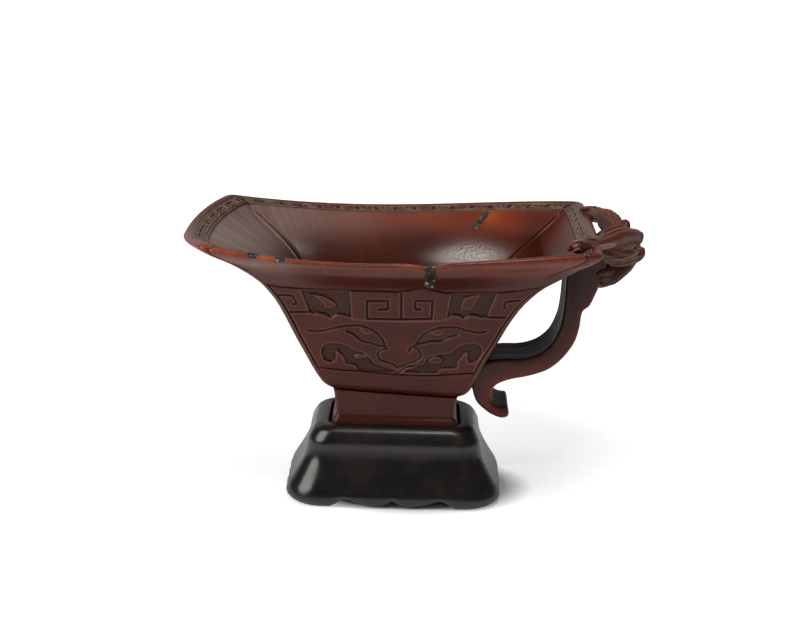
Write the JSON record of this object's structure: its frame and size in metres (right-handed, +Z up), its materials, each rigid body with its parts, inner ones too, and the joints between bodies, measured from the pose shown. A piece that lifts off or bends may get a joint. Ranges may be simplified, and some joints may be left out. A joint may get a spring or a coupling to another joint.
{
  "type": "horn libation cup on stand",
  "caption": "Carved horn libation cup with flared rim, spout and dragon handle, lifting out of a recess in a dark wooden stand.",
  "frame": {"origin": "middle of the whole piece's plan, on the surface that the stand rests on", "axes": "+X from spout to handle, +Y from the pictured front to the back, +Z up"},
  "size_m": [0.1536, 0.0902, 0.0965],
  "materials": {
    "horn": "polished dark reddish-brown horn",
    "dark_fill": "dark resin filling with pale flecks",
    "stand_wood": "near-black lacquered hardwood"
  },
  "bodies": {
    "stand": {"wooden_stand": "stand_wood"},
    "cup": {"horn_cup": "horn", "rim_fill_front": "dark_fill", "rim_fill_left_1": "dark_fill", "rim_fill_left_2": "dark_fill", "wall_fill_rear": "dark_fill"}
  },
  "joints": [
    {"name": "cup_lift", "type": "slide", "parent": "stand", "child": "cup", "axis": [0, 0, 1], "range_m": [0, 0.05]}
  ]
}
